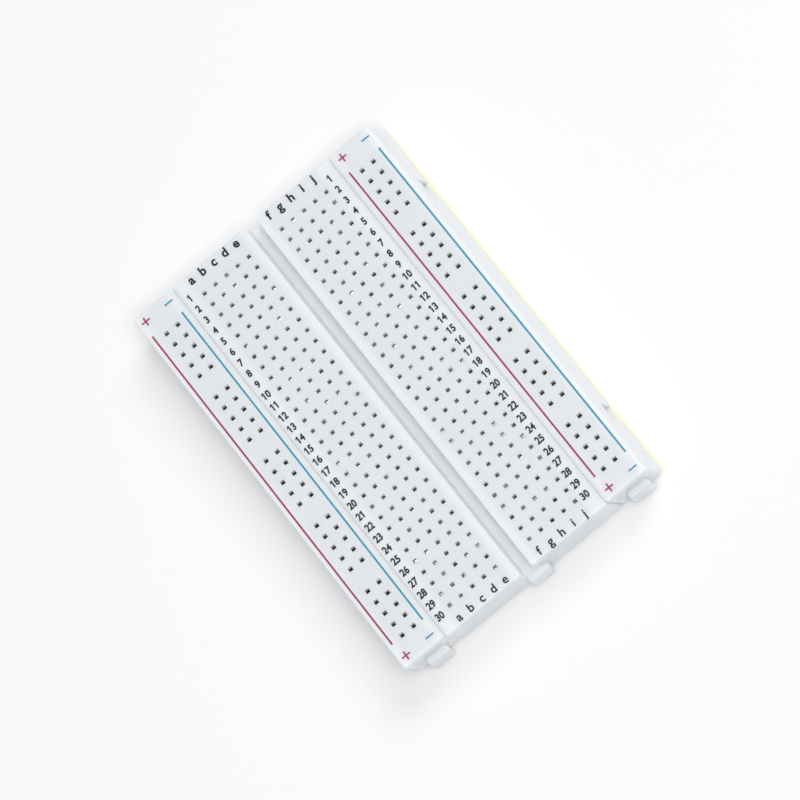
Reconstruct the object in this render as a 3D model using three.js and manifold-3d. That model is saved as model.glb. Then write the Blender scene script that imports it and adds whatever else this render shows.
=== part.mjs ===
// A half-size solderless breadboard: a terminal block between two bus strips, each a white
// housing with spring clips inside and a foam pad below, all on one release liner.
//
// Millimetres, +Z up. +X runs along the numbered rows, from row 1 to row 30. +Y runs across
// them, from column a to column j. The origin is under the centre of the contact grid, on the
// underside of the liner.

import * as THREE from 'three';
import { mergeGeometries, mergeVertices } from 'three/addons/utils/BufferGeometryUtils.js';
import Module from 'manifold-3d';

const manifold = await Module();
manifold.setup();

// The contact grid.
const PITCH = 2.54; // between neighbouring contacts
const ROWS = 30; // numbered rows of the terminal block
const BANK_CONTACTS = 5; // contacts in one terminal clip
const BANK_MIDDLE = 3.5 * PITCH; // from the board's middle to the middle of a bank of five
const BUS_GROUPS = 5; // groups of contacts along one bus row
const BUS_GROUP_CONTACTS = 5; // contacts in one group
const BUS_GROUP_PITCH = 6 * PITCH; // a group of five and one contact left out
const HOLE_WIDTH = 0.8; // square opening over each contact

const CUT_BEYOND = 1; // how far a cut runs on past the face that it opens

// Heights, from the liner up.
const LINER_THICKNESS = 0.15;
const FOAM_THICKNESS = 1.0;
const HOUSING_HEIGHT = 8.5;
const BASE_Z = LINER_THICKNESS + FOAM_THICKNESS; // underside of the housings
const TOP_Z = BASE_Z + HOUSING_HEIGHT;

// The housings, measured at the top face. Their sides lean toward +Y on the way down, all at
// one angle, so neighbours stay parallel and slide past each other along the lean.
const LEAN = Math.tan(THREE.MathUtils.degToRad(11.8)); // sideways shift for each mm of depth
const NEAR_END_UNDERCUT = 0.7; // how far the +X end wall draws back at the base
const FAR_END_X = -41.6;
const STRIP_NEAR_END_X = 40.7;
const BLOCK_NEAR_END_X = 40.95;
const BLOCK_WIDTH = 35.7;
const STRIP_WIDTH = 8.95;
const SEAM_GAP = 0.12; // between the block and each strip
const STRIP_MIDDLE = BLOCK_WIDTH / 2 + SEAM_GAP + STRIP_WIDTH / 2;
const BASE_SHIFT = HOUSING_HEIGHT * LEAN; // from a housing's middle to its base's middle

// The groove along the middle of the block, open at both ends.
const RAVINE_WIDTH = 2.4;
const RAVINE_FLOOR_WIDTH = 1.9;
const RAVINE_DEPTH = 3.8;

// The cells that hold the clips, open underneath.
const CEILING_THICKNESS = 1.0; // plastic over a cell, where the square holes go through
const CELL_WIDTH = 2.0;
const CELL_END_MARGIN = 0.95; // from the last contact's centre to the cell's end wall
const BUS_ROW_OFFSET = PITCH / 2; // from a pair of bus rows' middle to each row
const BUS_ROWS_SHIFT = 0.09; // from a strip's middle to the middle of its pair of rows, toward +Y

// The spring clips: folded strip with a throat that grips the lead.
const STRIP_METAL = 0.2;
const CLIP_END_MARGIN = 0.7; // from the last contact's centre to the clip's end
const CLIP_BASE_HALF_WIDTH = 0.55;
const CLIP_BULGE_HALF_WIDTH = 0.8;
const CLIP_BULGE_Z = 1.2;
const CLIP_THROAT_HALF_GAP = 0.06;
const CLIP_THROAT_Z = 6.0;
const CLIP_MOUTH_HALF_WIDTH = 0.65;
const CLIP_HEIGHT = 7.3;

// The T-shaped tabs and the sockets that take a neighbour's tabs. A tab has a neck at the
// wall and a wider flange outside it; a socket is the same shape with clearance.
const TAB_ROOT = 0.8; // how far a tab's neck goes into its wall
const NECK_LENGTH = 0.7;
const TAB_REACH = 1.5; // from the wall to the flange's outer face
const SOCKET_CLEARANCE = 0.2;
const SIDE_TAB = { neckWidth: 3.0, flangeWidth: 3.6, topDepth: 4.2 };
const SIDE_TABS_X = [-27.4, 26.45];
const END_TAB = { neckWidth: 4.2, flangeWidth: 4.6, topDepth: 4.4 };
const END_TAB_OUTER_X = 41.45; // all three end tabs finish in one plane
const END_TAB_SHIFT = 1.25; // from a housing's middle to its end tab's, toward +Y

// The foam pads and the liner.
const FOAM_INSET = 0.1; // from a housing's base edge to its pad
const FOAM_START_X = -41.2;
const FOAM_END_X = 39.65;
const NOTCH_CLEARANCE = 0.4; // round a neighbour's tab, where a pad is notched for it
const LINER_OVERHANG = 0.4; // past the base on the +Y side

const MATERIALS = {
  housing: { color: 0xe8ecf0, roughness: 0.42, metalness: 0 },
  terminalClip: { color: 0xc9c8c2, roughness: 0.3, metalness: 1 },
  busClip: { color: 0xb39a72, roughness: 0.35, metalness: 1 },
  foam: { color: 0xf2f1ea, roughness: 0.95, metalness: 0 },
  liner: { color: 0xf4eda0, roughness: 0.6, metalness: 0 },
};

// --- Helpers -------------------------------------------------------------------------------

function box(low, high) {
  const size = high.clone().sub(low);
  const middle = low.clone().add(high).multiplyScalar(0.5);
  const geometry = new THREE.BoxGeometry(size.x, size.y, size.z);
  return geometry.translate(middle.x, middle.y, middle.z);
}

function solidFrom(geometry) {
  const bare = geometry.clone();
  bare.deleteAttribute('normal');
  bare.deleteAttribute('uv');
  const merged = mergeVertices(bare);
  const shape = {
    numProp: 3,
    vertProperties: merged.attributes.position.array,
    triVerts: Uint32Array.from(merged.index.array),
  };
  return new manifold.Manifold(new manifold.Mesh(shape));
}

function geometryFrom(solid) {
  const { vertProperties, triVerts } = solid.getMesh();
  const geometry = new THREE.BufferGeometry();
  geometry.setAttribute('position', new THREE.BufferAttribute(vertProperties, 3));
  geometry.setIndex(new THREE.BufferAttribute(triVerts, 1));
  geometry.computeVertexNormals();
  return geometry;
}

// Moves every vertex by what the given function returns for it.
function bend(geometry, shift) {
  const position = geometry.attributes.position;
  const vertex = new THREE.Vector3();
  for (let i = 0; i < position.count; i += 1) {
    vertex.fromBufferAttribute(position, i);
    vertex.add(shift(vertex));
    position.setXYZ(i, vertex.x, vertex.y, vertex.z);
  }
  return geometry;
}

function leanSideways(geometry) {
  return bend(geometry, (vertex) => new THREE.Vector3(0, (TOP_Z - vertex.z) * LEAN, 0));
}

// Contact positions along X for the rows of the block and for a bus row.
const rowX = (row) => (row - (ROWS + 1) / 2) * PITCH;
const firstBusX = -((BUS_GROUPS - 1) * BUS_GROUP_PITCH + (BUS_GROUP_CONTACTS - 1) * PITCH) / 2;

function busContactsX() {
  const places = [];
  for (let group = 0; group < BUS_GROUPS; group += 1) {
    for (let contact = 0; contact < BUS_GROUP_CONTACTS; contact += 1) {
      places.push(firstBusX + group * BUS_GROUP_PITCH + contact * PITCH);
    }
  }
  return places;
}

// --- Housings ------------------------------------------------------------------------------

// A housing's outer block: leaning sides, a plumb far end and an undercut near end.
function outerBlock(middleY, width, nearEndX) {
  const low = new THREE.Vector3(FAR_END_X, middleY - width / 2, BASE_Z);
  const high = new THREE.Vector3(nearEndX, middleY + width / 2, TOP_Z);
  const undercut = (vertex) => {
    const depth = (TOP_Z - vertex.z) / HOUSING_HEIGHT;
    return new THREE.Vector3(vertex.x > 0 ? -depth * NEAR_END_UNDERCUT : 0, 0, 0);
  };
  return leanSideways(bend(box(low, high), undercut));
}

// The plan of a T, drawn along +Y from the wall at y = 0, which its neck starts behind.
function tPlan(neckWidth, flangeWidth, neckLength, reach) {
  const plan = new THREE.Shape();
  plan.moveTo(-neckWidth / 2, -TAB_ROOT);
  plan.lineTo(neckWidth / 2, -TAB_ROOT);
  plan.lineTo(neckWidth / 2, neckLength);
  plan.lineTo(flangeWidth / 2, neckLength);
  plan.lineTo(flangeWidth / 2, reach);
  plan.lineTo(-flangeWidth / 2, reach);
  plan.lineTo(-flangeWidth / 2, neckLength);
  plan.lineTo(-neckWidth / 2, neckLength);
  plan.closePath();
  return plan;
}

function tTab({ neckWidth, flangeWidth, topDepth }) {
  const height = HOUSING_HEIGHT - topDepth;
  const plan = tPlan(neckWidth, flangeWidth, NECK_LENGTH, TAB_REACH);
  const geometry = new THREE.ExtrudeGeometry(plan, { depth: height, bevelEnabled: false });
  return geometry.translate(0, 0, BASE_Z);
}

// The space that a tab needs, with clearance all round, run out through the base.
function tSocket({ neckWidth, flangeWidth, topDepth }) {
  const wider = 2 * SOCKET_CLEARANCE;
  const lip = NECK_LENGTH - SOCKET_CLEARANCE;
  const reach = TAB_REACH + SOCKET_CLEARANCE;
  const height = HOUSING_HEIGHT - topDepth + SOCKET_CLEARANCE + CUT_BEYOND;
  const plan = tPlan(neckWidth + wider, flangeWidth + wider, lip, reach);
  const geometry = new THREE.ExtrudeGeometry(plan, { depth: height, bevelEnabled: false });
  return geometry.translate(0, 0, BASE_Z - CUT_BEYOND);
}

// Tabs on the -Y side and on the near end.
function tabsOf(middleY, width) {
  const sideTabs = SIDE_TABS_X.map((x) => {
    const tab = tTab(SIDE_TAB).rotateZ(Math.PI).translate(x, middleY - width / 2, 0);
    return leanSideways(tab);
  });
  const endTab = tTab(END_TAB).rotateZ(-Math.PI / 2);
  endTab.translate(END_TAB_OUTER_X - TAB_REACH, middleY + END_TAB_SHIFT, 0);
  return [...sideTabs, endTab];
}

// Sockets in the +Y side and in the far end. A socket is cut inward from its wall.
function socketsOf(middleY, width) {
  const sideSockets = SIDE_TABS_X.map((x) => {
    const socket = tSocket(SIDE_TAB).rotateZ(Math.PI).translate(x, middleY + width / 2, 0);
    return leanSideways(socket);
  });
  const endSocket = tSocket(END_TAB).rotateZ(-Math.PI / 2);
  return [...sideSockets, endSocket.translate(FAR_END_X, middleY + END_TAB_SHIFT, 0)];
}

// A square hole from inside a cell up through the ceiling.
function contactHole(x, y) {
  const half = HOLE_WIDTH / 2;
  const low = new THREE.Vector3(x - half, y - half, TOP_Z - CEILING_THICKNESS - CUT_BEYOND);
  const high = new THREE.Vector3(x + half, y + half, TOP_Z + CUT_BEYOND);
  return box(low, high);
}

// A cell with its long side along X or Y, centred on the contacts that it serves.
function cell(x, y, lengthX, lengthY) {
  const low = new THREE.Vector3(x - lengthX / 2, y - lengthY / 2, BASE_Z - CUT_BEYOND);
  const high = new THREE.Vector3(x + lengthX / 2, y + lengthY / 2, TOP_Z - CEILING_THICKNESS);
  return box(low, high);
}

function makeHousing(middleY, width, nearEndX, holes, cells, extraCuts) {
  let solid = solidFrom(outerBlock(middleY, width, nearEndX));
  for (const tab of tabsOf(middleY, width)) {
    solid = solid.add(solidFrom(tab));
  }
  for (const cut of [...socketsOf(middleY, width), ...extraCuts]) {
    solid = solid.subtract(solidFrom(cut));
  }
  solid = solid.subtract(solidFrom(mergeGeometries(cells)));
  solid = solid.subtract(solidFrom(mergeGeometries(holes)));
  return geometryFrom(solid);
}

function ravine() {
  const profile = new THREE.Shape();
  const slope = (RAVINE_WIDTH - RAVINE_FLOOR_WIDTH) / 2 / RAVINE_DEPTH;
  const halfTop = RAVINE_WIDTH / 2 + slope * CUT_BEYOND;
  profile.moveTo(-RAVINE_FLOOR_WIDTH / 2, TOP_Z - RAVINE_DEPTH);
  profile.lineTo(RAVINE_FLOOR_WIDTH / 2, TOP_Z - RAVINE_DEPTH);
  profile.lineTo(halfTop, TOP_Z + CUT_BEYOND);
  profile.lineTo(-halfTop, TOP_Z + CUT_BEYOND);
  profile.closePath();
  const length = BLOCK_NEAR_END_X - FAR_END_X + 2 * CUT_BEYOND;
  const geometry = new THREE.ExtrudeGeometry(profile, { depth: length, bevelEnabled: false });
  geometry.rotateX(Math.PI / 2).rotateZ(Math.PI / 2);
  return geometry.translate(FAR_END_X - CUT_BEYOND, 0, 0);
}

function terminalBlockGeometry() {
  const holes = [];
  const cells = [];
  const cellLength = (BANK_CONTACTS - 1) * PITCH + 2 * CELL_END_MARGIN;
  for (let row = 1; row <= ROWS; row += 1) {
    for (const bankY of [-BANK_MIDDLE, BANK_MIDDLE]) {
      cells.push(cell(rowX(row), bankY, CELL_WIDTH, cellLength));
      for (let contact = 0; contact < BANK_CONTACTS; contact += 1) {
        const y = bankY + (contact - (BANK_CONTACTS - 1) / 2) * PITCH;
        holes.push(contactHole(rowX(row), y));
      }
    }
  }
  return makeHousing(0, BLOCK_WIDTH, BLOCK_NEAR_END_X, holes, cells, [ravine()]);
}

function busStripGeometry(side) {
  const holes = [];
  const cells = [];
  const cellLength = -2 * firstBusX + 2 * CELL_END_MARGIN;
  for (const offset of [-BUS_ROW_OFFSET, BUS_ROW_OFFSET]) {
    const y = side * STRIP_MIDDLE + BUS_ROWS_SHIFT + offset;
    cells.push(cell(0, y, cellLength, CELL_WIDTH));
    for (const x of busContactsX()) {
      holes.push(contactHole(x, y));
    }
  }
  return makeHousing(side * STRIP_MIDDLE, STRIP_WIDTH, STRIP_NEAR_END_X, holes, cells, []);
}

// --- Clips, foam and liner -----------------------------------------------------------------

// The clip's cross-section, standing on its base: out to a bulge, in to the throat and out
// again to the mouth, with the metal's thickness inside.
function clipProfile() {
  const outer = [
    [CLIP_BASE_HALF_WIDTH, 0],
    [CLIP_BULGE_HALF_WIDTH, CLIP_BULGE_Z],
    [CLIP_THROAT_HALF_GAP + STRIP_METAL, CLIP_THROAT_Z],
    [CLIP_MOUTH_HALF_WIDTH, CLIP_HEIGHT],
  ];
  const inner = [
    [CLIP_MOUTH_HALF_WIDTH - STRIP_METAL, CLIP_HEIGHT],
    [CLIP_THROAT_HALF_GAP, CLIP_THROAT_Z],
    [CLIP_BULGE_HALF_WIDTH - STRIP_METAL, CLIP_BULGE_Z],
    [CLIP_BASE_HALF_WIDTH - STRIP_METAL / 2, STRIP_METAL],
  ];
  const rightHalf = [...outer, ...inner];
  const leftHalf = rightHalf.map(([x, z]) => [-x, z]).reverse();
  return new THREE.Shape([...rightHalf, ...leftHalf].map(([x, z]) => new THREE.Vector2(x, z)));
}

// A clip lying along Y, centred on the origin in plan, with its base at the housing's base.
function clipGeometry(contactSpan) {
  const length = contactSpan + 2 * CLIP_END_MARGIN;
  const settings = { depth: length, bevelEnabled: false };
  const geometry = new THREE.ExtrudeGeometry(clipProfile(), settings);
  return geometry.rotateX(Math.PI / 2).translate(0, length / 2, BASE_Z);
}

// The pad under one housing, drawn in from the housing's base edges. A pad whose +Y sockets
// hold a neighbour's tabs is notched there, so that it slides up past them.
function foamPadGeometry(middleY, width, notched) {
  const lowY = middleY - width / 2 + BASE_SHIFT + FOAM_INSET;
  const highY = middleY + width / 2 + BASE_SHIFT - FOAM_INSET;
  const notchY = middleY + width / 2 + BASE_SHIFT - TAB_REACH - NOTCH_CLEARANCE;
  const notchHalf = SIDE_TAB.flangeWidth / 2 + NOTCH_CLEARANCE;
  const plan = new THREE.Shape();
  plan.moveTo(FOAM_START_X, lowY);
  plan.lineTo(FOAM_END_X, lowY);
  plan.lineTo(FOAM_END_X, highY);
  for (const x of notched ? SIDE_TABS_X.toReversed() : []) {
    plan.lineTo(x + notchHalf, highY);
    plan.lineTo(x + notchHalf, notchY);
    plan.lineTo(x - notchHalf, notchY);
    plan.lineTo(x - notchHalf, highY);
  }
  plan.lineTo(FOAM_START_X, highY);
  plan.closePath();
  const settings = { depth: FOAM_THICKNESS, bevelEnabled: false };
  return new THREE.ExtrudeGeometry(plan, settings).translate(0, 0, LINER_THICKNESS);
}

function linerGeometry() {
  const halfBoard = STRIP_MIDDLE + STRIP_WIDTH / 2;
  const lowY = BASE_SHIFT - halfBoard + FOAM_INSET;
  const highY = BASE_SHIFT + halfBoard + LINER_OVERHANG;
  const low = new THREE.Vector3(FOAM_START_X, lowY, 0);
  const high = new THREE.Vector3(FOAM_END_X, highY, LINER_THICKNESS);
  return box(low, high);
}

// --- The assembly --------------------------------------------------------------------------

const materials = {};
for (const [slot, look] of Object.entries(MATERIALS)) {
  materials[slot] = new THREE.MeshStandardMaterial({ name: slot, ...look });
}

function part(name, geometry, slot) {
  const mesh = new THREE.Mesh(geometry, materials[slot]);
  mesh.name = name;
  return mesh;
}

const board = new THREE.Group();
board.name = 'solderless_breadboard';

board.add(part('terminal_block', terminalBlockGeometry(), 'housing'));
board.add(part('bus_strip_a_side', busStripGeometry(-1), 'housing'));
board.add(part('bus_strip_j_side', busStripGeometry(1), 'housing'));

board.add(part('foam_pad_terminal_block', foamPadGeometry(0, BLOCK_WIDTH, true), 'foam'));
board.add(part('foam_pad_a_side', foamPadGeometry(-STRIP_MIDDLE, STRIP_WIDTH, true), 'foam'));
board.add(part('foam_pad_j_side', foamPadGeometry(STRIP_MIDDLE, STRIP_WIDTH, false), 'foam'));
board.add(part('release_liner', linerGeometry(), 'liner'));

// The five-way clips of columns a to e, one for each numbered row.
for (let row = 1; row <= ROWS; row += 1) {
  const name = `terminal_clip_ae_${String(row).padStart(2, '0')}`;
  const clip = part(name, clipGeometry((BANK_CONTACTS - 1) * PITCH), 'terminalClip');
  clip.position.set(rowX(row), -BANK_MIDDLE, 0);
  board.add(clip);
}

// Each bus strip has two long clips. The plus row lies on its -Y side.
for (const [sideName, side] of [['a_side', -1], ['j_side', 1]]) {
  for (const [sign, offset] of [['plus', -BUS_ROW_OFFSET], ['minus', BUS_ROW_OFFSET]]) {
    const clip = part(`bus_clip_${sideName}_${sign}`, clipGeometry(-2 * firstBusX), 'busClip');
    clip.rotation.z = Math.PI / 2;
    clip.position.set(0, side * STRIP_MIDDLE + BUS_ROWS_SHIFT + offset, 0);
    board.add(clip);
  }
}

export default board;
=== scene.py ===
import math

import bmesh
import bpy
from mathutils import Matrix, Quaternion, Vector, noise


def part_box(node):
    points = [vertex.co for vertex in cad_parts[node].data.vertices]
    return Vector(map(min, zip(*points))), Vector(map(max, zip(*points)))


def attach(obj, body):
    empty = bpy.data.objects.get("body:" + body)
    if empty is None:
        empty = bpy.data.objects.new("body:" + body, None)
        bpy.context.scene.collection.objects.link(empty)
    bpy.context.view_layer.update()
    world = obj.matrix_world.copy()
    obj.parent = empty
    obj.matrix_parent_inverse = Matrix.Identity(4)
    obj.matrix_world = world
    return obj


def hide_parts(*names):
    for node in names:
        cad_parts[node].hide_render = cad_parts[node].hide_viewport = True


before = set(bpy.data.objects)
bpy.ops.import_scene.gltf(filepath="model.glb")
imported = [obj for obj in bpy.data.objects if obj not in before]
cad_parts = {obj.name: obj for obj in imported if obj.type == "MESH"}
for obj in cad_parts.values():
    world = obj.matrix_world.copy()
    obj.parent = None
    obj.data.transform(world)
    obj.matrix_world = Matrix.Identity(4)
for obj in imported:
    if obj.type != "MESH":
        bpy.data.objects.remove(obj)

# A half-size solderless breadboard. Shapes are drawn in millimetres and brought to metres as
# each piece is finished. +X runs from row 1 to row 30, +Y from column a to column j.
MM = 0.001
scene = bpy.context.scene
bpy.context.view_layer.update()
noise.seed_set(1)  # noise_vector differs from run to run until it is seeded


def box_mm(node):
    low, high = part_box(node)
    return low / MM, high / MM


def middle_mm(node):
    low, high = box_mm(node)
    return (low + high) / 2


# --- Sizes ----------------------------------------------------------------------------------

ROWS = 30
BANK_CONTACTS = 5
BUS_GROUPS = 5

block_low, block_high = box_mm("terminal_block")
TOP = block_high.z
BASE = block_low.z
HOUSING_HEIGHT = TOP - BASE
FAR_END_X = block_low.x
END_TAB_OUTER_X = block_high.x

ROW_1 = middle_mm("terminal_clip_ae_01")
ROW_30 = middle_mm("terminal_clip_ae_30")
PITCH = (ROW_30.x - ROW_1.x) / (ROWS - 1)
BANK_MIDDLE = -ROW_1.y  # from the board's middle to the middle of a bank of five

LEAN = math.tan(math.radians(11.8))  # sideways shift of a wall for each mm of depth
BASE_SHIFT = HOUSING_HEIGHT * LEAN
NEAR_END_UNDERCUT = 0.7
BLOCK_NEAR_END = 0.5  # from the end tabs' outer faces back to the top face's edge
STRIP_NEAR_END = 0.75
SNUG = 0.058  # how far the sides bulge into the seams, so that neighbours all but touch
BLOCK_WIDTH = 35.7 + 2 * SNUG
STRIP_WIDTH = 8.95 + 2 * SNUG

SEAM_EDGE_RADIUS = 0.02  # top edges beside a seam
OUTER_EDGE_RADIUS = 0.35  # top edges of the far end and the -Y side
J_EDGE_RADIUS = 0.7  # the top edge of the +Y side
NEAR_EDGE_RADIUS = 0.6  # top edges of the near end
CORNER_RADIUS = 0.45  # upright corners
FOOT_CHAMFER = 0.08

HOLE_WIDTH = 0.72
BUS_HOLE_WIDTH = 0.79
FUNNEL_EASE = 0.03  # how far a hole opens out at the top face, and to what depth
CEILING = 1.0  # thickness of plastic over the cells
CELL_WIDTH = 2.0
CELL_END_MARGIN = 0.95  # from the last contact to the end of a cell
CUT_BEYOND = 0.6  # how far a cutting shape runs past the surface that it opens

RAVINE_WIDTH = 2.4
RAVINE_FLOOR_WIDTH = 1.9
RAVINE_DEPTH = 3.8
RAVINE_FILLET = 0.22
RAVINE_LIP = 0.17  # how far the groove opens out at the top face
RAVINE_MOUTH = 0.45  # and at the end walls

TAB_ROOT = 0.8  # how far a tab runs back into its wall
NECK_LENGTH = 0.7
TAB_REACH = 1.5
TAB_EDGE = 0.14  # the easing of a tab's top edge
SOCKET_CLEARANCE = 0.2
SIDE_TABS_X = (-27.4, 26.45)
SIDE_TAB = {"neck": 3.0, "flange": 3.6, "top_depth": 4.2, "corners": (0.2, 0.2)}
END_TAB = {"neck": 4.2, "flange": 4.6, "top_depth": 4.4, "corners": (0.8, 0.15)}
END_TAB_SHIFT = 1.25  # from a housing's middle to its end tab's
PIPS_Y = (-4.2, -3.7, 3.1, 3.6)  # ridges beside a strip's end tab, from the tab's middle
PIP_WIDTH = 0.24
PIP_PROUD = 0.22

CLIP_METAL = 0.2
FINGER_WIDTH = 1.5
CLIP_END_MARGIN = 0.7  # from the last contact to the end of a clip
FINGER_ROOT_Z = 0.9  # heights in a clip, from its base
THROAT_Z = 6.3
LIP_Z = 7.2
FINGER_SWAY = 0.24  # the most a finger's lip stands out of line

FOAM_INSET = 0.04
FOAM_CORNER = 0.5
FOAM_RAGGED = 0.06  # how far a pad's cut edge strays at its faces
FOAM_RAGGED_MORE = 0.08  # and how much further halfway up
NOTCH_WIDTH = 4.5  # under a socket, for the neighbour's tab
NOTCH_DEPTH = 1.8
NOTCH_CORNER = 0.15
LINER_NEAR_END_INSET = 0.2
LINER_SIDE_INSET = 0.05

INK_HEIGHT = 0.012  # proud of the top face
INK_DEPTH = 0.03  # sunk into it
LINE_ENDS_X = (-36.85, 35.8)
LINE_WIDTH = 0.33
RED_LINE_Y = -3.34  # lines and marks, from the middle of a strip's print
BLUE_LINE_Y = 3.43
MARKS_X = (-39.85, 38.85)
MARK_Y = 2.62
MARK_LENGTH = 1.75
MARK_WIDTH = 0.29

# Labels read along +Y: y is a label's middle, and x is where its feet stand. A type's scale is
# its size along the line and up the letters, and drift is how far off its column a letter sits.
NUMBERS = {
    "a": {"y": -16.5, "ends_x": (-37.2, 37.95)},
    "j": {"y": 15.94, "ends_x": (-37.7, 37.74)},
}
NUMBER_TYPE = {"scale": (1.6, 1.95), "boldness": 0.036}
LETTERS = {
    "row_1": {"x": -39.57, "drift": -0.4, "type": {"scale": (2.4, 2.5), "boldness": 0.03}},
    "row_30": {"x": 40.35, "drift": 0.0, "type": {"scale": (2.25, 2.35), "boldness": 0.02}},
}
FLAG_LENGTH = 0.16  # the flag of a figure one, for type one unit high
FLAG_DROP = 0.15
FLAG_WIDTH = 0.15


# --- Mesh helpers ---------------------------------------------------------------------------

def softened(corners, steps=5):
    """Points round a closed outline of (x, y, rounding) corners, each eased with a curve
    as far as the corners beside it leave room."""
    outline = []
    for index, (x, y, rounding) in enumerate(corners):
        corner = Vector((x, y))
        ends = []
        for beside in (corners[index - 1], corners[(index + 1) % len(corners)]):
            along = Vector(beside[:2]) - corner
            room = max(along.length - beside[2], 0.0)
            ends.append(corner + along.normalized() * min(rounding, room))
        start, end = ends
        for step in range(steps + 1 if rounding else 1):
            t = step / steps
            outline.append(start.lerp(corner, t).lerp(corner.lerp(end, t), t))
    return outline


def level(outline, z):
    return [Vector((point.x, point.y, z)) for point in outline]


def add_loft(form, rings):
    """Adds a closed skin through rings of points, each ring with as many points."""
    loops = [[form.verts.new(point) for point in ring] for ring in rings]
    for low, high in zip(loops, loops[1:]):
        for i, here in enumerate(low):
            j = (i + 1) % len(low)
            form.faces.new((here, low[j], high[j], high[i]))
    form.faces.new(list(reversed(loops[0])))
    form.faces.new(loops[-1])


def add_box(form, low, high):
    outline = [Vector(p) for p in ((low[0], low[1]), (high[0], low[1]),
                                   (high[0], high[1]), (low[0], high[1]))]
    add_loft(form, [level(outline, low[2]), level(outline, high[2])])


def to_object(name, form):
    bmesh.ops.recalc_face_normals(form, faces=form.faces)
    mesh = bpy.data.meshes.new(name)
    form.to_mesh(mesh)
    form.free()
    piece = bpy.data.objects.new(name, mesh)
    scene.collection.objects.link(piece)
    return piece


def combine(piece, other, operation):
    """Joins another mesh to a piece, or cuts it away, and uses that mesh up."""
    modifier = piece.modifiers.new("combine", "BOOLEAN")
    modifier.operation = operation
    modifier.solver = "MANIFOLD"
    modifier.object = other
    graph = bpy.context.evaluated_depsgraph_get()
    mesh = bpy.data.meshes.new_from_object(piece.evaluated_get(graph))
    piece.modifiers.clear()
    piece.data = mesh
    bpy.data.objects.remove(other)


def finish_piece(piece, material, body, slot, *nodes):
    """Brings a piece to metres, paints it, ties it to its body and hides the CAD nodes that it
    stands for.
    """
    piece.data.transform(Matrix.Scale(MM, 4))
    piece.data.materials.clear()
    piece.data.materials.append(material)
    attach(piece, body)
    if nodes:
        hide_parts(*nodes)
    return piece


# --- Housings -------------------------------------------------------------------------------

def edge_inset(depth, radius):
    """How far a rounded edge draws in at a depth below the top face."""
    if depth >= radius:
        return 0.0
    return radius - math.sqrt(radius**2 - (radius - depth)**2)


def near_wall(near_x, depth):
    """Where a near end wall stands at a depth; near_x is its place at the top face."""
    return near_x - NEAR_END_UNDERCUT * depth / HOUSING_HEIGHT


def housing_ring(near_x, low_y, high_y, radii, depth):
    """The outline at a depth; radii are those of the -Y, +Y and far top edges."""
    foot = FOOT_CHAMFER if depth >= HOUSING_HEIGHT else 0.0
    low, high, far = (edge_inset(depth, radius) + foot for radius in radii)
    near = edge_inset(depth, NEAR_EDGE_RADIUS) + foot
    sway = depth * LEAN
    near_x = near_wall(near_x, depth)
    corners = [
        (FAR_END_X + far, low_y + low + sway, CORNER_RADIUS),
        (near_x - near, low_y + low + sway, CORNER_RADIUS),
        (near_x - near, high_y - high + sway, CORNER_RADIUS),
        (FAR_END_X + far, high_y - high + sway, CORNER_RADIUS),
    ]
    return level(softened(corners), TOP - depth)


def housing_shell(name, near_x, low_y, high_y, low_radius, high_radius):
    """A solid housing, rounded along its top edges."""
    edge_steps = 6
    radii = (low_radius, high_radius, OUTER_EDGE_RADIUS)
    depths = {HOUSING_HEIGHT, HOUSING_HEIGHT - FOOT_CHAMFER}
    for radius in {*radii, NEAR_EDGE_RADIUS}:
        for step in range(edge_steps + 1):
            depths.add(round(radius * (1 - math.cos(math.pi / 2 * step / edge_steps)), 4))
    form = bmesh.new()
    add_loft(form, [housing_ring(near_x, low_y, high_y, radii, depth)
                    for depth in sorted(depths, reverse=True)])
    return to_object(name, form)


def t_outline(neck, flange, lip, reach, corners=(0, 0), inset=0.0):
    """The plan of a T along +Y from a wall at y = 0; corners round its outer end."""
    small = (flange - neck) / 6 if any(corners) else 0  # rounding of its inner corners
    neck_x = neck / 2 - inset
    flange_x = flange / 2 - inset
    return softened([
        (-neck_x, -TAB_ROOT, 0),
        (neck_x, -TAB_ROOT, 0),
        (neck_x, lip + inset, small),
        (flange_x, lip + inset, small),
        (flange_x, reach - inset, corners[0]),
        (-flange_x, reach - inset, corners[1]),
        (-flange_x, lip + inset, small),
        (-neck_x, lip + inset, small),
    ])


def placed(form, turn, x, y, lean):
    """Turns a form about Z, moves it and, if asked, leans it with the side walls."""
    form.transform(Matrix.Translation((x, y, 0)) @ Matrix.Rotation(turn, 4, "Z"))
    if lean:
        for vertex in form.verts:
            vertex.co.y += (TOP - vertex.co.z) * LEAN
    return form


def tab_form(size):
    form = bmesh.new()
    tab_top = TOP - size["top_depth"]
    bend = 0.04
    rings = []
    for z, inset in ((BASE, 0), (tab_top - TAB_EDGE, 0), (tab_top - bend, bend),
                     (tab_top, TAB_EDGE)):
        outline = t_outline(size["neck"], size["flange"], NECK_LENGTH, TAB_REACH,
                            size["corners"], inset)
        rings.append(level(outline, z))
    add_loft(form, rings)
    return form


def socket_form(size):
    form = bmesh.new()
    wider = 2 * SOCKET_CLEARANCE
    lip = NECK_LENGTH - SOCKET_CLEARANCE
    outline = t_outline(size["neck"] + wider, size["flange"] + wider, lip,
                        TAB_REACH + SOCKET_CLEARANCE)
    socket_top = TOP - size["top_depth"] + SOCKET_CLEARANCE
    add_loft(form, [level(outline, BASE - CUT_BEYOND), level(outline, socket_top)])
    return form


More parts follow.
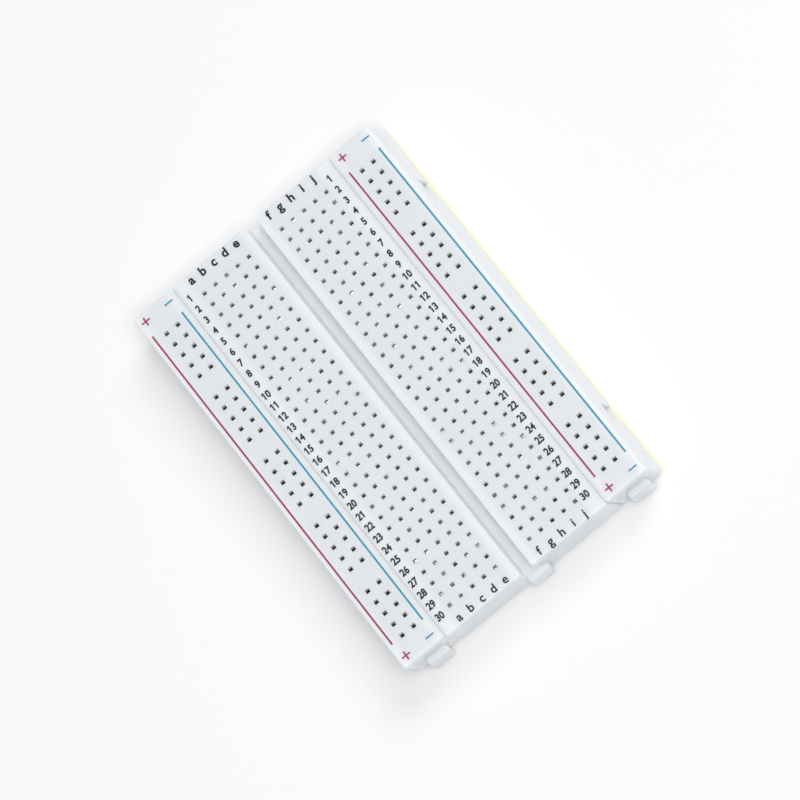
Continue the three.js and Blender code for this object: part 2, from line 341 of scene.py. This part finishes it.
def pocket_form(near_x, middle_y):
    """The shallow scoop in the end wall over its tab, deepest a little above the tab."""
    rings = []
    foot_depth = END_TAB["top_depth"] + 0.05  # just below the tab's top, so no faces meet
    for depth, scoop, half in ((foot_depth, 0.1, 2.25), (4.0, 0.32, 2.2),
                               (3.2, 0.42, 2.1), (2.0, 0.22, 1.95), (1.3, -0.05, 1.7)):
        back_x = near_wall(near_x, depth) - scoop
        front_x = near_wall(near_x, depth) + TAB_REACH
        corners = [(back_x, middle_y - half, 0.5), (front_x, middle_y - half, 0),
                   (front_x, middle_y + half, 0), (back_x, middle_y + half, 0.5)]
        rings.append(level(softened(corners), TOP - depth))
    form = bmesh.new()
    add_loft(form, rings)
    return form


def add_tabs(piece, near_x, low_y, middle_y):
    for x in SIDE_TABS_X:
        tab = placed(tab_form(SIDE_TAB), math.pi, x, low_y, True)
        combine(piece, to_object("tab", tab), "UNION")
    tab_y = middle_y + END_TAB_SHIFT
    combine(piece, to_object("pocket", pocket_form(near_x, tab_y)), "DIFFERENCE")
    tab = placed(tab_form(END_TAB), -math.pi / 2, END_TAB_OUTER_X - TAB_REACH, tab_y, False)
    combine(piece, to_object("tab", tab), "UNION")


def add_pips(piece, near_x, tab_y):
    """Two pairs of small upright ridges on a strip's end wall, one each side of its tab."""
    half = PIP_WIDTH / 2
    for y in (tab_y + offset for offset in PIPS_Y):
        rings = []
        for depth, proud in ((4.4, -0.2), (4.2, PIP_PROUD), (3.3, PIP_PROUD), (3.0, -0.2)):
            root_x = near_wall(near_x, depth) - 0.5
            tip_x = near_wall(near_x, depth) + proud
            corners = [(root_x, y - half, 0), (tip_x, y - half, 0.05),
                       (tip_x, y + half, 0.05), (root_x, y + half, 0)]
            rings.append(level(softened(corners), TOP - depth))
        form = bmesh.new()
        add_loft(form, rings)
        combine(piece, to_object("pip", form), "UNION")


def cut_sockets(piece, high_y, middle_y):
    for x in SIDE_TABS_X:
        socket = placed(socket_form(SIDE_TAB), math.pi, x, high_y, True)
        combine(piece, to_object("socket", socket), "DIFFERENCE")
    tab_y = middle_y + END_TAB_SHIFT
    socket = placed(socket_form(END_TAB), -math.pi / 2, FAR_END_X, tab_y, False)
    combine(piece, to_object("socket", socket), "DIFFERENCE")


def cut_contacts(piece, contacts, cells, width):
    """Cuts the cells from below, then a square hole with an eased mouth down into them."""
    form = bmesh.new()
    for low, high in cells:
        add_box(form, (*low, BASE - CUT_BEYOND), (*high, TOP - CEILING))
    combine(piece, to_object("cells", form), "DIFFERENCE")
    form = bmesh.new()
    for x, y in contacts:
        rings = []
        for z, wider in ((TOP - CEILING - CUT_BEYOND, 0), (TOP - FUNNEL_EASE, 0),
                         (TOP + FUNNEL_EASE, 2 * FUNNEL_EASE)):
            half = width / 2 + wider
            corners = [(x - half, y - half, 0), (x + half, y - half, 0),
                       (x + half, y + half, 0), (x - half, y + half, 0)]
            rings.append(level(softened(corners), z))
        add_loft(form, rings)
    combine(piece, to_object("holes", form), "DIFFERENCE")


def cut_ravine(piece, near_x):
    """The centre groove, eased where it meets the top face and the end walls."""
    floor_z = TOP - RAVINE_DEPTH
    floor_half = RAVINE_FLOOR_WIDTH / 2
    top_half = RAVINE_WIDTH / 2
    bend = 0.07
    half_profile = [
        (floor_half - RAVINE_FILLET, floor_z),
        (floor_half - bend, floor_z + bend),
        (floor_half, floor_z + RAVINE_FILLET),
        (top_half - 0.01, TOP - RAVINE_FILLET),
        (top_half + 0.05, TOP - bend),
        (top_half + RAVINE_LIP, TOP),
        (top_half + RAVINE_LIP, TOP + CUT_BEYOND),
    ]
    profile = half_profile + [(-y, z) for y, z in reversed(half_profile)]
    steps = 5
    inward = [math.sin(math.pi / 2 * step / steps) for step in range(steps + 1)]
    stations = [(FAR_END_X - CUT_BEYOND, RAVINE_MOUTH)]
    stations += [(FAR_END_X + RAVINE_MOUTH * i, RAVINE_MOUTH * (1 - i)) for i in inward]
    stations += [(near_x - RAVINE_MOUTH * i, RAVINE_MOUTH * (1 - i)) for i in reversed(inward)]
    stations.append((near_x + CUT_BEYOND, RAVINE_MOUTH))
    rings = []
    for x, wider in stations:
        rings.append([Vector((x, y + math.copysign(wider, y), z)) for y, z in profile])
    form = bmesh.new()
    add_loft(form, rings)
    combine(piece, to_object("ravine", form), "DIFFERENCE")


def bank_contacts(middle_y):
    first = -(BANK_CONTACTS - 1) / 2
    return [middle_y + (first + i) * PITCH for i in range(BANK_CONTACTS)]


def row_x(row):
    return ROW_1.x + (row - 1) * PITCH


def bus_contacts_x():
    group_pitch = (BANK_CONTACTS + 1) * PITCH
    first = -((BUS_GROUPS - 1) * group_pitch + (BANK_CONTACTS - 1) * PITCH) / 2
    return [first + g * group_pitch + i * PITCH
            for g in range(BUS_GROUPS) for i in range(BANK_CONTACTS)]


def make_terminal_block(material):
    low_y, high_y = -BLOCK_WIDTH / 2, BLOCK_WIDTH / 2
    near_x = END_TAB_OUTER_X - BLOCK_NEAR_END
    piece = housing_shell("terminal_block_shell", near_x, low_y, high_y,
                          SEAM_EDGE_RADIUS, SEAM_EDGE_RADIUS)
    add_tabs(piece, near_x, low_y, 0)
    cut_sockets(piece, high_y, 0)
    contacts, cells = [], []
    half_x = CELL_WIDTH / 2
    half_y = (BANK_CONTACTS - 1) / 2 * PITCH + CELL_END_MARGIN
    for bank_y in (-BANK_MIDDLE, BANK_MIDDLE):
        for row in range(1, ROWS + 1):
            x = row_x(row)
            cells.append(((x - half_x, bank_y - half_y), (x + half_x, bank_y + half_y)))
            contacts += [(x, y) for y in bank_contacts(bank_y)]
    cut_contacts(piece, contacts, cells, HOLE_WIDTH)
    cut_ravine(piece, near_x)
    return finish_piece(piece, material, "terminal_block", "housing", "terminal_block")


def strip_sides(node):
    """The -Y and +Y sides of a bus strip's top face."""
    high_y = box_mm(node)[1].y - BASE_SHIFT + SNUG
    return high_y - STRIP_WIDTH, high_y


def make_bus_strip(side, material):
    node = f"bus_strip_{side}_side"
    low_y, high_y = strip_sides(node)
    middle_y = (low_y + high_y) / 2
    near_x = END_TAB_OUTER_X - STRIP_NEAR_END
    radii = {"a": (OUTER_EDGE_RADIUS, SEAM_EDGE_RADIUS), "j": (SEAM_EDGE_RADIUS, J_EDGE_RADIUS)}
    piece = housing_shell(f"{node}_shell", near_x, low_y, high_y, *radii[side])
    add_tabs(piece, near_x, low_y, middle_y)
    add_pips(piece, near_x, middle_y + END_TAB_SHIFT)
    cut_sockets(piece, high_y, middle_y)
    contacts, cells = [], []
    places = bus_contacts_x()
    for sign in ("plus", "minus"):
        y = middle_mm(f"bus_clip_{side}_side_{sign}").y
        half_y = CELL_WIDTH / 2
        cells.append(((places[0] - CELL_END_MARGIN, y - half_y),
                      (places[-1] + CELL_END_MARGIN, y + half_y)))
        contacts += [(x, y) for x in places]
    cut_contacts(piece, contacts, cells, BUS_HOLE_WIDTH)
    return finish_piece(piece, material, node, "housing", node)


# --- Spring clips ---------------------------------------------------------------------------

def clip_section():
    """The folded strip's cross-section: base, bulge, throat and flared lips."""
    spine = [
        Vector((0.0, 0.1)), Vector((0.42, 0.1)), Vector((0.62, 0.3)), Vector((0.7, 0.8)),
        Vector((0.68, 1.4)), Vector((0.54, 2.8)), Vector((0.32, 5.0)), Vector((0.16, THROAT_Z)),
        Vector((0.17, 6.5)), Vector((0.3, 6.9)), Vector((0.5, LIP_Z)),
    ]
    outer, inner = [], []
    for i, point in enumerate(spine):
        ahead = spine[min(i + 1, len(spine) - 1)] - spine[max(i - 1, 0)]
        across = Vector((ahead.y, -ahead.x)).normalized() * CLIP_METAL / 2
        outer.append(point + across)
        inner.append(point - across)
    right = outer + inner[::-1]
    right = [p for p in right if p.x > 1e-6]
    return right + [Vector((-p.x, p.y)) for p in reversed(right)]


def clip_mesh(name, contacts):
    """A clip with its length along Y and a pair of fingers at each contact."""
    ends = (contacts[0] - CLIP_END_MARGIN, contacts[-1] + CLIP_END_MARGIN)
    form = bmesh.new()
    section = clip_section()
    add_loft(form, [[Vector((p.x, y, BASE + p.y)) for p in section] for y in ends])
    piece = to_object(name, form)
    slots = bmesh.new()
    for here, following in zip(contacts, contacts[1:]):
        low = (-2, here + FINGER_WIDTH / 2, BASE + FINGER_ROOT_Z)
        high = (2, following - FINGER_WIDTH / 2, TOP)
        add_box(slots, low, high)
    combine(piece, to_object("slots", slots), "DIFFERENCE")
    mesh = piece.data
    bpy.data.objects.remove(piece)
    return mesh


def sway_fingers(mesh, x, y):
    """Bends each finger's lip a little out of line, differently at every contact."""
    for vertex in mesh.vertices:
        share = (vertex.co.z - BASE - THROAT_Z) / (LIP_Z - THROAT_Z)
        if share > 0:
            contact = round(vertex.co.y / PITCH)
            finger = Vector((x * 3.1, y * 5.7 + contact, math.copysign(4, vertex.co.x)))
            vertex.co.x += (2 * noise.cell(finger) - 1) * FINGER_SWAY * share


def place_clip(name, mesh, x, y, turn, material, body, slot, *nodes):
    piece = bpy.data.objects.new(name, mesh.copy())
    scene.collection.objects.link(piece)
    sway_fingers(piece.data, x, y)
    piece.data.transform(Matrix.Translation((x, y, 0)) @ Matrix.Rotation(turn, 4, "Z"))
    return finish_piece(piece, material, body, slot, *nodes)


def make_clips(terminal_metal, bus_metal):
    terminal = clip_mesh("terminal_clip", bank_contacts(0))
    for row in range(1, ROWS + 1):
        for bank, y in (("ae", -BANK_MIDDLE), ("fj", BANK_MIDDLE)):
            name = f"terminal_clip_{bank}_{row:02d}"
            nodes = [name] if bank == "ae" else []
            place_clip(f"{name}_spring", terminal, row_x(row), y, 0, terminal_metal,
                       "terminal_block", "terminal_clip", *nodes)
    bus = clip_mesh("bus_clip", bus_contacts_x())
    for side in ("a", "j"):
        for sign in ("plus", "minus"):
            name = f"bus_clip_{side}_side_{sign}"
            place_clip(f"{name}_spring", bus, 0, middle_mm(name).y, -math.pi / 2, bus_metal,
                       f"bus_strip_{side}_side", "bus_clip", name)


# --- Foam and liner -------------------------------------------------------------------------

def resampled(outline, spacing):
    """More points along an outline's long edges, about one for each spacing."""
    points = []
    for here, following in zip(outline, outline[1:] + outline[:1]):
        count = max(1, round((following - here).length / spacing))
        points += [here.lerp(following, i / count) for i in range(count)]
    return points


def ragged(outline, amount, grain, slice_z):
    """An outline nudged by smooth noise, as a cut edge is; slice_z picks a slice of the noise."""
    moved = []
    for point in outline:
        sample = Vector((point.x / grain, point.y / grain, slice_z))
        nudge = noise.noise_vector(sample) * amount
        moved.append(point + nudge.xy)
    return moved


def make_foam(node, body, material, notched):
    """A pad, notched under the +Y sockets where they hold a neighbour's tabs."""
    low, high = box_mm(node)
    notch_y = high.y - NOTCH_DEPTH
    low_x, high_x = low.x + FOAM_INSET, high.x - FOAM_INSET
    low_y, high_y = low.y + FOAM_INSET, high.y - FOAM_INSET
    corners = [(low_x, low_y, FOAM_CORNER), (high_x, low_y, FOAM_CORNER),
               (high_x, high_y, FOAM_CORNER)]
    for x in reversed(SIDE_TABS_X) if notched else []:
        right, left = x + NOTCH_WIDTH / 2, x - NOTCH_WIDTH / 2
        corners += [(right, high_y, NOTCH_CORNER), (right, notch_y, NOTCH_CORNER),
                    (left, notch_y, NOTCH_CORNER), (left, high_y, NOTCH_CORNER)]
    corners.append((low_x, high_y, FOAM_CORNER))
    outline = resampled(softened(corners), 0.5)
    first_slice = node.count("o")  # not the same for neighbouring pads
    layers = 5
    rings = []
    for layer in range(layers + 1):
        share = layer / layers
        amount = FOAM_RAGGED + FOAM_RAGGED_MORE * math.sin(math.pi * share)
        ring = ragged(outline, amount, grain=0.7, slice_z=first_slice + 3 * share)
        rings.append(level(ring, low.z + (high.z - low.z) * share))
    form = bmesh.new()
    add_loft(form, rings)
    piece = finish_piece(to_object(f"{node}_slab", form), material, body, "foam", node)
    return piece


def make_liner(material):
    """The sheet under the pads; it lies flat, so its plan gives its flat size."""
    low, high = box_mm("release_liner")
    high.x -= LINER_NEAR_END_INSET
    high_y = high.y - LINER_SIDE_INSET
    corners = [(low.x, low.y, 0.3), (high.x, low.y, 0.3), (high.x, high_y, 0.3),
               (low.x, high_y, 0.9)]
    outline = resampled(softened(corners), 1.0)
    outline = ragged(outline, amount=0.07, grain=2.5, slice_z=4)
    form = bmesh.new()
    add_loft(form, [level(outline, low.z), level(outline, high.z)])
    piece = to_object("release_liner_sheet", form)
    finish_piece(piece, material, "release_liner", "liner", "release_liner")
    return piece


# --- Printing -------------------------------------------------------------------------------

def glyph_form(text, boldness):
    """A line of lettering as a closed mesh about the origin, one unit of type high."""
    curve = bpy.data.curves.new("lettering", "FONT")
    curve.body = text
    curve.align_x = "CENTER"
    curve.offset = boldness
    curve.extrude = 0.5
    curve.resolution_u = 4
    writing = bpy.data.objects.new("lettering", curve)
    scene.collection.objects.link(writing)
    mesh = bpy.data.meshes.new_from_object(writing)
    bpy.data.objects.remove(writing)
    form = bmesh.new()
    form.from_mesh(mesh)
    bmesh.ops.remove_doubles(form, verts=form.verts, dist=1e-5)
    return form


def span(form, axis):
    """The least and greatest place of a form's points along an axis."""
    places = [vertex.co[axis] for vertex in form.verts]
    return min(places), max(places)


def flag_ones(form, text, boldness):
    """Swaps the typeface's plain bar for a figure one with a flag, at either end of a number."""
    bar = glyph_form("1", boldness)
    left, right = span(bar, 0)
    foot, head = span(bar, 1)
    bar.free()
    width = right - left
    first, last = span(form, 0)
    bars_x = [first] if text[0] == "1" else []
    if text[1:] == "1":
        bars_x.append(last - width)
    for x in bars_x:
        old = [v for v in form.verts if abs(v.co.x - x - width / 2) < 0.6 * width]
        bmesh.ops.delete(form, geom=old, context="VERTS")
    for x in bars_x:
        tip_x = x - FLAG_LENGTH
        tip_y = head - FLAG_DROP
        corners = [(x, foot), (x + width, foot), (x + width, head), (x + 0.2 * width, head),
                   (tip_x, tip_y), (tip_x, tip_y - FLAG_WIDTH), (x, head - FLAG_WIDTH - 0.02)]
        outline = [Vector(corner) for corner in corners]
        add_loft(form, [level(outline, -0.5), level(outline, 0.5)])


def print_labels(name, labels, scale, boldness, material, body):
    """Labels (text, x, y) as one film of ink, reading along +Y with their tops toward -X.
    Scale is the type's size along its line and up its letters."""
    joined = bmesh.new()
    thickness = INK_HEIGHT + INK_DEPTH
    turn = Matrix.Rotation(math.pi / 2, 4, "Z")
    size = Matrix.Diagonal((*scale, thickness, 1))
    for text, x, y in labels:
        form = glyph_form(text, boldness)
        if "1" in text:
            flag_ones(form, text, boldness)
        place = Matrix.Translation((x, y, TOP + INK_HEIGHT - thickness / 2))
        form.transform(place @ turn @ size)
        mesh = bpy.data.meshes.new("label")
        form.to_mesh(mesh)
        form.free()
        joined.from_mesh(mesh)
    piece = to_object(name, joined)
    return finish_piece(piece, material, body, f"ink_{material['ink']}")


def add_stroke(form, x, y, length_x, length_y):
    """A printed stroke with slightly soft corners."""
    half_x, half_y = length_x / 2, length_y / 2
    soft = 0.04
    corners = [(x - half_x, y - half_y, soft), (x + half_x, y - half_y, soft),
               (x + half_x, y + half_y, soft), (x - half_x, y + half_y, soft)]
    outline = softened(corners, 2)
    add_loft(form, [level(outline, TOP - INK_DEPTH), level(outline, TOP + INK_HEIGHT)])


def make_bus_printing(side, red, blue, drift):
    """The lines and marks of one strip; drift is how far the print sits off centre."""
    node = f"bus_strip_{side}_side"
    middle_y = strip_sides(node)[1] - STRIP_WIDTH / 2 + drift
    start_x, end_x = LINE_ENDS_X
    for colour, ink, line_y, sign, mark_y in (("red", red, RED_LINE_Y, "plus", -MARK_Y),
                                              ("blue", blue, BLUE_LINE_Y, "minus", MARK_Y)):
        form = bmesh.new()
        add_stroke(form, (start_x + end_x) / 2, middle_y + line_y, end_x - start_x, LINE_WIDTH)
        line = to_object(f"{node}_{colour}_line", form)
        finish_piece(line, ink, node, f"ink_{colour}")
        form = bmesh.new()
        for x in MARKS_X:
            add_stroke(form, x, middle_y + mark_y, MARK_WIDTH, MARK_LENGTH)
        marks = to_object(f"{node}_{sign}_marks", form)
        if sign == "plus":
            bars = bmesh.new()
            for x in MARKS_X:
                add_stroke(bars, x, middle_y + mark_y, MARK_LENGTH, MARK_WIDTH)
            combine(marks, to_object("bars", bars), "UNION")
        finish_piece(marks, ink, node, f"ink_{colour}")


def make_block_printing(ink):
    """The row numbers beside both strips, and the column letters at both ends."""
    for side, numbers in NUMBERS.items():
        first_x, last_x = numbers["ends_x"]
        labels = []
        for row in range(1, ROWS + 1):
            x = first_x + (last_x - first_x) * (row - 1) / (ROWS - 1)
            labels.append((str(row), x, numbers["y"]))
        print_labels(f"row_numbers_{side}_side", labels, **NUMBER_TYPE, material=ink,
                     body="terminal_block")
    columns = bank_contacts(-BANK_MIDDLE) + bank_contacts(BANK_MIDDLE)
    for end, letters in LETTERS.items():
        labels = [(letter, letters["x"], y + letters["drift"])
                  for letter, y in zip("abcdefghij", columns)]
        print_labels(f"column_letters_{end}", labels, **letters["type"], material=ink,
                     body="terminal_block")


# --- Materials ------------------------------------------------------------------------------

class Shader:
    """A node material built round one Principled shader."""

    def __init__(self, name):
        self.material = bpy.data.materials.new(name)
        self.material.use_nodes = True
        self.tree = self.material.node_tree
        self.main = next(n for n in self.tree.nodes if n.type == "BSDF_PRINCIPLED")
        self.place = self.add("ShaderNodeTexCoord").outputs["Object"]

    def add(self, kind, **values):
        node = self.tree.nodes.new(kind)
        for name, value in values.items():
            node.inputs[name.replace("_", " ")].default_value = value
        return node

    def link(self, source, target):
        self.tree.links.new(source, target)

    def set(self, **values):
        for name, value in values.items():
            self.main.inputs[name.replace("_", " ")].default_value = value

    def noise(self, grain, detail=2.0, stretch=None):
        """Noise whose features are about one grain, in millimetres, across."""
        node = self.add("ShaderNodeTexNoise", Scale=1 / (grain * MM), Detail=detail)
        place = self.place
        if stretch:
            mapping = self.add("ShaderNodeMapping", Scale=stretch)
            self.link(place, mapping.inputs["Vector"])
            place = mapping.outputs["Vector"]
        self.link(place, node.inputs["Vector"])
        return node.outputs["Fac"]

    def ramp(self, factor, low, high, start=0.35, end=0.65):
        """Two colours or greys mixed by a factor between start and end."""
        node = self.add("ShaderNodeValToRGB")
        node.color_ramp.elements[0].position = start
        node.color_ramp.elements[1].position = end
        node.color_ramp.elements[0].color = low
        node.color_ramp.elements[1].color = high
        self.link(factor, node.inputs["Fac"])
        return node.outputs["Color"]

    def rough(self, factor, low, high):
        self.link(self.ramp(factor, (low,) * 3 + (1,), (high,) * 3 + (1,)),
                  self.main.inputs["Roughness"])

    def dimmed_over_cells(self, shade):
        """The colour made a little darker over the rows of cells: painted shade, standing for the
        hollow cells under the thin plastic.
        """
        # Places are out from the board's middle line, on both sides of it.
        reach = 30.0
        half_bank = BANK_CONTACTS / 2 * PITCH
        bank = (BANK_MIDDLE - half_bank, BANK_MIDDLE + half_bank)
        bus_rows = (19.5, 25.5)
        # Painted shade: over the cells the colour is multiplied by a grey a little under one,
        # elsewhere by one.
        painted_cell_shade, no_shade = (0.93, 0.935, 0.94, 1), (1, 1, 1, 1)
        across = self.add("ShaderNodeSeparateXYZ")
        self.link(self.place, across.inputs["Vector"])
        distance = self.add("ShaderNodeMath")
        distance.operation = "ABSOLUTE"
        self.link(across.outputs["Y"], distance.inputs[0])
        share = self.add("ShaderNodeMath")
        share.operation = "DIVIDE"
        share.inputs[1].default_value = reach * MM
        self.link(distance.outputs["Value"], share.inputs[0])
        cell_shade_ramp = self.add("ShaderNodeValToRGB")
        self.link(share.outputs["Value"], cell_shade_ramp.inputs["Fac"])
        ramp = cell_shade_ramp.color_ramp
        ramp.interpolation = "EASE"
        ramp.elements[0].position, ramp.elements[0].color = 0, no_shade
        ramp.elements[1].position, ramp.elements[1].color = 1, no_shade
        for low, high in (bank, bus_rows):
            for y, colour in ((low - 0.5, no_shade), (low + 0.7, painted_cell_shade),
                              (high - 0.7, painted_cell_shade), (high + 0.5, no_shade)):
                ramp.elements.new(y / reach).color = colour
        mix = self.add("ShaderNodeMix")
        mix.data_type, mix.blend_type = "RGBA", "MULTIPLY"
        mix.inputs["Factor"].default_value = 1.0
        self.link(shade, mix.inputs[6])
        self.link(cell_shade_ramp.outputs["Color"], mix.inputs[7])
        return mix.outputs[2]

    def bump(self, height, depth, under=None):
        """Bump of a depth in millimetres, over another bump if one is given."""
        node = self.add("ShaderNodeBump", Distance=depth * MM, Strength=1.0)
        self.link(height, node.inputs["Height"])
        if under:
            self.link(under, node.inputs["Normal"])
        self.link(node.outputs["Normal"], self.main.inputs["Normal"])
        return node.outputs["Normal"]


def housing_material():
    """White moulded plastic: faint cloudiness, a fine spark-eroded grain and soft sink marks."""
    shader = Shader("white_moulded_plastic")
    cloud = shader.noise(9.0, 3.0)
    shade = shader.ramp(cloud, (0.84, 0.865, 0.885, 1), (0.86, 0.88, 0.9, 1))
    # Painted shade over the rows of cells darkens the base colour there.
    shader.link(shader.dimmed_over_cells(shade), shader.main.inputs["Base Color"])
    shader.rough(shader.noise(1.3, 4.0), 0.28, 0.4)
    waves = shader.bump(shader.noise(6.0, 1.0), 0.02)
    shader.bump(shader.noise(0.12, 2.0), 0.004, waves)
    shader.set(Subsurface_Weight=0.5, Subsurface_Scale=0.0015, IOR=1.5)
    shader.set(Subsurface_Radius=(1.0, 0.95, 0.9))
    return shader.material


def metal_material(name, low, high, roughness):
    """Spring strip: drawn streaks along the strip, and a base colour spread between low and high
    that is partly a little tarnish and partly painted glints and painted shade.
    """
    shader = Shader(name)
    # Painted glints and shade: the wide colour spread makes some contacts read bright and others
    # dark in their holes.
    tarnish_and_painted_glints = shader.noise(1.1, 4.0)
    shader.link(shader.ramp(tarnish_and_painted_glints, low, high), shader.main.inputs["Base Color"])
    streaks = shader.noise(0.5, 3.0, (8.0, 1.0, 1.0))
    shader.rough(streaks, roughness - 0.08, roughness + 0.1)
    shader.bump(streaks, 0.004)
    shader.set(Metallic=1.0)
    return shader.material


def foam_material():
    """Closed-cell foam: small round cells and an uneven off-white."""
    shader = Shader("foam_backing")
    cells = shader.add("ShaderNodeTexVoronoi", Scale=1 / (0.16 * MM))
    shader.link(shader.place, cells.inputs["Vector"])
    distance = cells.outputs["Distance"]
    shade = shader.ramp(distance, (0.95, 0.95, 0.93, 1), (0.85, 0.85, 0.82, 1), 0.2, 0.9)
    shader.link(shade, shader.main.inputs["Base Color"])
    shader.rough(shader.noise(0.8, 3.0), 0.85, 0.98)
    shader.bump(distance, 0.05)
    return shader.material


def liner_material():
    """Coated yellow paper: fibres, faint mottling and a silicone gloss."""
    shader = Shader("release_paper")
    fibres = shader.noise(0.5, 5.0, (1.0, 6.0, 1.0))
    shade = shader.ramp(fibres, (0.93, 0.9, 0.56, 1), (0.95, 0.925, 0.64, 1))
    shader.link(shade, shader.main.inputs["Base Color"])
    shader.rough(shader.noise(2.0, 3.0), 0.45, 0.62)
    shader.bump(fibres, 0.006)
    shader.set(Coat_Weight=0.15, Coat_Roughness=0.3)
    return shader.material


def ink_material(colour, low, high):
    """Pad-printed ink: slightly uneven cover and a satin surface."""
    shader = Shader(f"ink_{colour}")
    shader.material["ink"] = colour
    cover = shader.noise(0.25, 4.0)
    shader.link(shader.ramp(cover, low, high), shader.main.inputs["Base Color"])
    shader.rough(shader.noise(0.4, 2.0), 0.4, 0.6)
    shader.bump(cover, 0.003)
    return shader.material


# --- Camera, light and floor ----------------------------------------------------------------

def add_camera():
    """A long lens over the near end, a little toward column j and turned about its axis."""
    azimuth, elevation, roll = (math.radians(a) for a in (8.845, 69.153, -47.987))
    target = Vector((2.15, 1.312, TOP)) * MM
    distance = 0.96446
    back = Vector((math.cos(elevation) * math.cos(azimuth),
                   math.cos(elevation) * math.sin(azimuth), math.sin(elevation)))
    data = bpy.data.cameras.new("camera")
    data.lens = 250
    data.clip_start, data.clip_end = 0.05, 20
    camera = bpy.data.objects.new("camera", data)
    scene.collection.objects.link(camera)
    camera.location = target + back * distance
    camera.rotation_mode = "QUATERNION"
    upright = back.to_track_quat("Z", "Y")
    camera.rotation_quaternion = upright @ Quaternion((0, 0, 1), roll)
    scene.camera = camera


def add_floor():
    """A wide pale sheet just under the liner, drawn in metres."""
    shader = Shader("pale_floor")
    shader.link(shader.ramp(shader.noise(400.0), (0.94, 0.94, 0.94, 1), (0.955, 0.955, 0.955, 1)),
                shader.main.inputs["Base Color"])
    shader.set(Roughness=0.9)
    form = bmesh.new()
    half = 3.0
    gap = 0.00003
    corners = [(-half, -half), (half, -half), (half, half), (-half, half)]
    form.faces.new([form.verts.new((x, y, -gap)) for x, y in corners])
    floor = to_object("floor", form)
    floor.data.materials.append(shader.material)


def add_light(name, place, size, power):
    """A square soft box facing the board."""
    data = bpy.data.lights.new(name, "AREA")
    data.size = size
    data.energy = power
    lamp = bpy.data.objects.new(name, data)
    lamp.location = place
    lamp.rotation_mode = "QUATERNION"
    lamp.rotation_quaternion = Vector(place).to_track_quat("Z", "Y")
    scene.collection.objects.link(lamp)


def add_lights():
    world = bpy.data.worlds.new("studio")
    world.use_nodes = True
    world.node_tree.nodes["Background"].inputs["Color"].default_value = (0.97, 0.985, 1.0, 1)
    world.node_tree.nodes["Background"].inputs["Strength"].default_value = 0.44
    scene.world = world
    add_light("key", (-0.45, 0.72, 0.95), 0.6, 3.9)
    add_light("overhead", (0.42, 0.12, 1.28), 0.8, 8.8)


# --- The board ------------------------------------------------------------------------------

scene.view_settings.view_transform = "Standard"
add_camera()
add_floor()
add_lights()

plastic = housing_material()
foam = foam_material()
black = ink_material("black", (0.008, 0.008, 0.01, 1), (0.02, 0.02, 0.024, 1))
red = ink_material("red", (0.33, 0.03, 0.1, 1), (0.41, 0.04, 0.125, 1))
blue = ink_material("blue", (0.02, 0.27, 0.45, 1), (0.04, 0.33, 0.52, 1))

make_terminal_block(plastic)
for strip, drift in (("a", -0.15), ("j", 0.17)):
    make_bus_strip(strip, plastic)
    make_bus_printing(strip, red, blue, drift)
make_block_printing(black)
# The nickel's wide colour spread is partly tarnish and partly painted glints and shade.
make_clips(metal_material("nickel_strip", (0.42, 0.41, 0.4, 1), (0.93, 0.92, 0.9, 1), 0.16),
           metal_material("bronze_strip", (0.68, 0.56, 0.4, 1), (0.88, 0.77, 0.58, 1), 0.3))
make_foam("foam_pad_terminal_block", "terminal_block", foam, True)
make_foam("foam_pad_a_side", "bus_strip_a_side", foam, True)
make_foam("foam_pad_j_side", "bus_strip_j_side", foam, False)
make_liner(liner_material())
